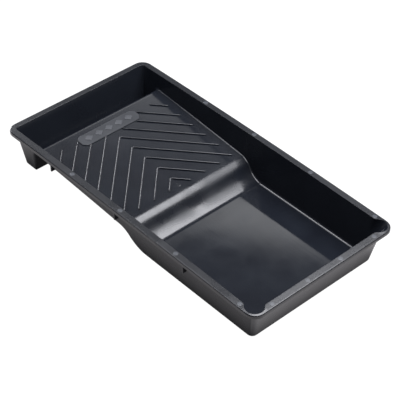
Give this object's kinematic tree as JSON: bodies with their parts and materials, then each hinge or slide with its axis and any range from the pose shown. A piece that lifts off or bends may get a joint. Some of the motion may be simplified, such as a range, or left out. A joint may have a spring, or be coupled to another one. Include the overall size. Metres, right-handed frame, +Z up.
{
  "type": "paint roller tray",
  "caption": "Black plastic mini roller tray: deep paint well, ramp with chevron ribs, rear trough foot, flat rim with pouring spouts at the front corners.",
  "frame": {"origin": "on the ground, under the middle of the rim", "axes": "+X along the tray towards the deep paint well, +Y across it to the left, +Z up"},
  "size_m": [0.306, 0.155, 0.0383],
  "materials": {
    "tray_black": "glossy black polypropylene",
    "badge_black": "frosted black polypropylene"
  },
  "bodies": {
    "root": {"tray_shell": "tray_black", "rim_flange": "tray_black", "pour_spout_left": "tray_black", "pour_spout_right": "tray_black", "gusset_left_rear": "tray_black", "gusset_left_middle": "tray_black", "gusset_left_front": "tray_black", "gusset_right_rear": "tray_black", "gusset_right_middle": "tray_black", "gusset_right_front": "tray_black", "rib_1": "tray_black", "rib_2": "tray_black", "rib_3": "tray_black", "rib_4": "tray_black", "rib_5": "tray_black", "rib_6_left": "tray_black", "rib_6_right": "tray_black", "rib_7_left": "tray_black", "rib_7_right": "tray_black", "rib_8_left": "tray_black", "rib_8_right": "tray_black", "rib_9_left": "tray_black", "rib_9_right": "tray_black", "badge_plate": "badge_black"}
  },
  "joints": []
}
